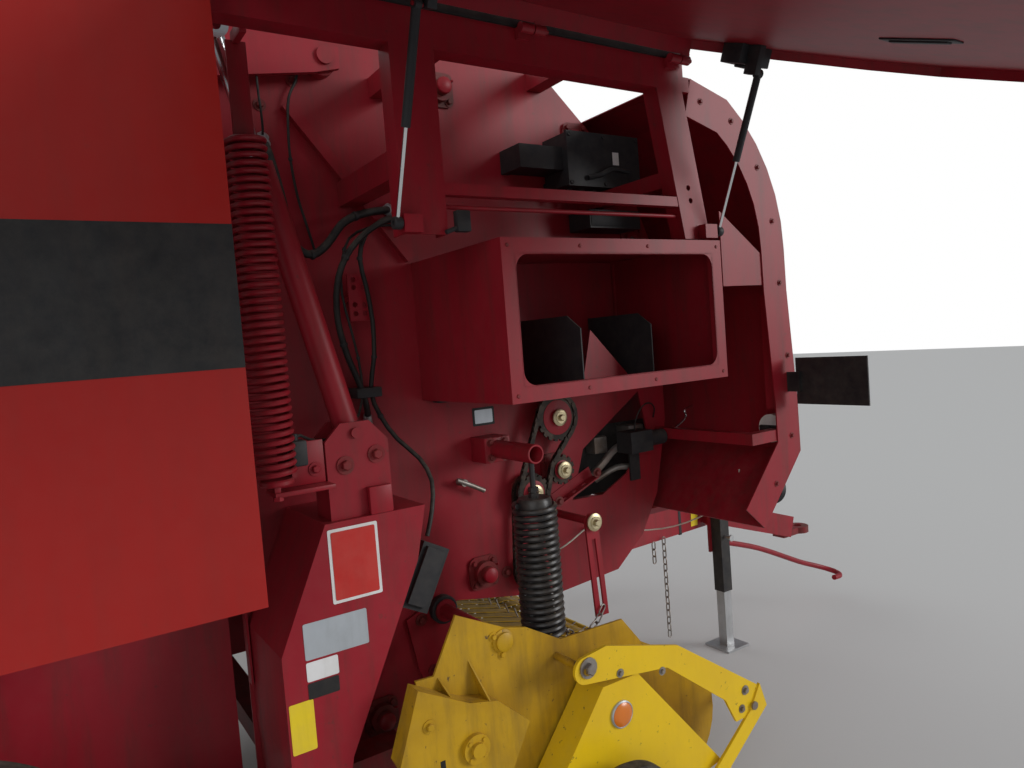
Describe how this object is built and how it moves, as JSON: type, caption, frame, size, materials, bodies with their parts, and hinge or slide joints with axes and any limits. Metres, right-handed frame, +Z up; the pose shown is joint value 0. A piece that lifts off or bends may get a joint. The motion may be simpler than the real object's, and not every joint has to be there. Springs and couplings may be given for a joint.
{
  "type": "round baler",
  "caption": "Trailed round baler with a rear tailgate, belts, a lifting pickup with a tine reel, hinged side doors, twine box, drawbar, drive shaft and jack.",
  "frame": {"origin": "centre of the hole in the drawbar's eye, parked on the jack", "axes": "+X forward along the drawbar, +Y to the left, +Z up; the ground is 0.36 m below the origin"},
  "size_m": [4.7835, 3.8381, 2.54],
  "materials": {
    "right_side_sheet": "gloss",
    "left_side_sheet": "gloss",
    "leg_covers": "gloss",
    "door_frame": "gloss",
    "front_hood": "gloss",
    "drawbar": "gloss",
    "twine_box": "gloss",
    "tension_springs": "gloss",
    "cylinder_brackets": "gloss",
    "tailgate_sheets": "gloss",
    "tailgate_frame": "gloss",
    "rear_shields": "gloss",
    "cylinder_barrels": "gloss",
    "right_door": "gloss",
    "left_door": "gloss",
    "axle_frame": "satin",
    "hood_corners": "satin",
    "drawbar_eye": "satin",
    "roller_bearings": "satin",
    "gearbox": "satin",
    "hose_support": "satin",
    "jack_sleeve": "satin",
    "control_boxes": "satin",
    "pickup_springs": "satin",
    "marker_plates": "satin",
    "shield_stripes": "satin",
    "right_strut_barrels": "satin",
    "left_strut_barrels": "satin",
    "spring_straps": "satin",
    "pto_shaft": "matte",
    "twine_dividers": "matte",
    "jack_leg": "satin",
    "chain_drive": "satin",
    "front_rollers": "satin",
    "tailgate_rollers": "satin",
    "pickup_reel": "satin",
    "cylinder_rods": "polished",
    "right_strut_rods": "polished",
    "left_strut_rods": "polished",
    "front_belts": "matte",
    "tailgate_belts": "matte",
    "right_gauge_wheel": "matte",
    "left_gauge_wheel": "matte",
    "front_lamps": "gloss",
    "rear_lamps": "gloss",
    "right_tyre": "matte",
    "left_tyre": "matte",
    "right_rim": "gloss",
    "left_rim": "gloss",
    "pickup_frame": "gloss",
    "pickup_shields": "gloss",
    "pickup_bands": "gloss",
    "windguard": "gloss"
  },
  "bodies": {
    "chassis": {"right_side_sheet": "right_side_sheet", "left_side_sheet": "left_side_sheet", "axle_frame": "axle_frame", "leg_covers": "leg_covers", "door_frame": "door_frame", "front_hood": "front_hood", "hood_corners": "hood_corners", "drawbar": "drawbar", "drawbar_eye": "drawbar_eye", "jack_sleeve": "jack_sleeve", "twine_box": "twine_box", "twine_dividers": "twine_dividers", "control_boxes": "control_boxes", "chain_drive": "chain_drive", "roller_bearings": "roller_bearings", "front_rollers": "front_rollers", "front_belts": "front_belts", "pickup_springs": "pickup_springs", "tension_springs": "tension_springs", "cylinder_brackets": "cylinder_brackets", "gearbox": "gearbox", "pto_shaft": "pto_shaft", "marker_plates": "marker_plates", "front_lamps": "front_lamps", "hose_support": "hose_support"},
    "tailgate": {"tailgate_sheets": "tailgate_sheets", "tailgate_frame": "tailgate_frame", "rear_shields": "rear_shields", "shield_stripes": "shield_stripes", "tailgate_rollers": "tailgate_rollers", "tailgate_belts": "tailgate_belts", "rear_lamps": "rear_lamps"},
    "cylinder_barrels": {"cylinder_barrels": "cylinder_barrels"},
    "cylinder_rods": {"cylinder_rods": "cylinder_rods"},
    "right_door": {"right_door": "right_door"},
    "right_strut_barrels": {"right_strut_barrels": "right_strut_barrels"},
    "right_strut_rods": {"right_strut_rods": "right_strut_rods"},
    "left_door": {"left_door": "left_door"},
    "left_strut_barrels": {"left_strut_barrels": "left_strut_barrels"},
    "left_strut_rods": {"left_strut_rods": "left_strut_rods"},
    "right_wheel": {"right_tyre": "right_tyre", "right_rim": "right_rim"},
    "left_wheel": {"left_tyre": "left_tyre", "left_rim": "left_rim"},
    "pickup": {"pickup_frame": "pickup_frame", "pickup_shields": "pickup_shields", "pickup_bands": "pickup_bands", "spring_straps": "spring_straps"},
    "reel": {"pickup_reel": "pickup_reel"},
    "right_gauge": {"right_gauge_wheel": "right_gauge_wheel"},
    "left_gauge": {"left_gauge_wheel": "left_gauge_wheel"},
    "windguard": {"windguard": "windguard"},
    "jack": {"jack_leg": "jack_leg"}
  },
  "joints": [
    {"name": "tailgate_hinge", "type": "hinge", "parent": "chassis", "child": "tailgate", "pos_m": [-2.98, 0, 2.11], "axis": [0, 1, 0], "range_deg": [0, 65]},
    {"name": "cylinder_pivot", "type": "hinge", "parent": "chassis", "child": "cylinder_barrels", "pos_m": [-3.08, 0, 1.036], "axis": [0, 1, 0], "range_deg": [0, 12]},
    {"name": "rod_slide", "type": "slide", "parent": "cylinder_barrels", "child": "cylinder_rods", "axis": [-0.2372, 0, 0.9715], "range_m": [0, 0.33]},
    {"name": "right_door_hinge", "type": "hinge", "parent": "chassis", "child": "right_door", "pos_m": [-2.5, -1.135, 2.08], "axis": [1, 0, 0], "range_deg": [0, 68.5]},
    {"name": "right_strut_pivot", "type": "hinge", "parent": "right_door", "child": "right_strut_barrels", "pos_m": [-3.005, -1.31745, 1.99201], "axis": [1, 0, 0], "range_deg": [-94, 0]},
    {"name": "right_strut_slide", "type": "slide", "parent": "right_strut_barrels", "child": "right_strut_rods", "axis": [0, 0.3905, -0.9206], "range_m": [-0.155, 0]},
    {"name": "left_door_hinge", "type": "hinge", "parent": "chassis", "child": "left_door", "pos_m": [-2.5, 1.135, 2.08], "axis": [1, 0, 0], "range_deg": [0, 68.5]},
    {"name": "left_strut_pivot", "type": "hinge", "parent": "left_door", "child": "left_strut_barrels", "pos_m": [-3.005, 1.12, 1.878], "axis": [1, 0, 0], "range_deg": [-94, 0]},
    {"name": "left_strut_slide", "type": "slide", "parent": "left_strut_barrels", "child": "left_strut_rods", "axis": [0, 0.0305, -0.9995], "range_m": [0, 0.155]},
    {"name": "right_wheel_spin", "type": "hinge", "parent": "chassis", "child": "right_wheel", "pos_m": [-4.1, -1.025, 0.065], "axis": [0, 1, 0], "continuous": true},
    {"name": "left_wheel_spin", "type": "hinge", "parent": "chassis", "child": "left_wheel", "pos_m": [-4.1, 1.025, 0.065], "axis": [0, 1, 0], "continuous": true},
    {"name": "pickup_lift", "type": "hinge", "parent": "chassis", "child": "pickup", "pos_m": [-2.724, 0, 0.394], "axis": [0, 1, 0], "range_deg": [-12, 0]},
    {"name": "reel_spin", "type": "hinge", "parent": "pickup", "child": "reel", "pos_m": [-2.12, 0, -0.07], "axis": [0, 1, 0], "continuous": true},
    {"name": "right_gauge_spin", "type": "hinge", "parent": "pickup", "child": "right_gauge", "pos_m": [-2.48, -1.222, -0.155], "axis": [0, 1, 0], "continuous": true},
    {"name": "left_gauge_spin", "type": "hinge", "parent": "pickup", "child": "left_gauge", "pos_m": [-2.48, 1.222, -0.155], "axis": [0, 1, 0], "continuous": true},
    {"name": "windguard_hinge", "type": "hinge", "parent": "pickup", "child": "windguard", "pos_m": [-2.54, 0, 0.295], "axis": [0, 1, 0], "range_deg": [-8, 0]},
    {"name": "jack_slide", "type": "slide", "parent": "chassis", "child": "jack", "axis": [0, 0, 1], "range_m": [0, 0.27]}
  ],
  "couplings": [
    {"joint": "cylinder_pivot", "follows": "tailgate_hinge", "ratio": 0.1512},
    {"joint": "rod_slide", "follows": "tailgate_hinge", "m_per_rad": 0.2814},
    {"joint": "right_strut_pivot", "follows": "right_door_hinge", "ratio": -1.361},
    {"joint": "right_strut_slide", "follows": "right_door_hinge", "m_per_rad": -0.1272},
    {"joint": "left_strut_pivot", "follows": "left_door_hinge", "ratio": -1.361},
    {"joint": "left_strut_slide", "follows": "left_door_hinge", "m_per_rad": 0.1272}
  ]
}
